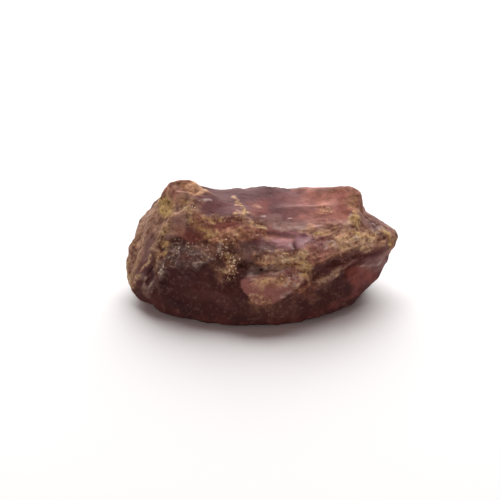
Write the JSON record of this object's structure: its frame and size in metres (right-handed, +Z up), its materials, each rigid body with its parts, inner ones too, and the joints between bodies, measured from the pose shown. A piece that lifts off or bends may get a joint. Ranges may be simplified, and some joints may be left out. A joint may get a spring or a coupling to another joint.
{
  "type": "garnet crystal",
  "caption": "Rough, stained garnet crystal fragment that lies on its broad side, with a knob, a worn top table and an ochre-crusted broken front.",
  "frame": {"origin": "middle of the stone's box in X and Y, on the plane of its flat rest face", "axes": "+Z up, away from what the stone lies on; +X along the stone's length, from its knob towards its pointed lobe; -Y towards its broken, crusted front"},
  "size_m": [0.024, 0.0128, 0.01],
  "materials": {
    "stained_garnet": "dull gloss, with an ochre crust in its hollows"
  },
  "bodies": {
    "root": {"garnet_crystal": "stained_garnet"}
  },
  "joints": []
}
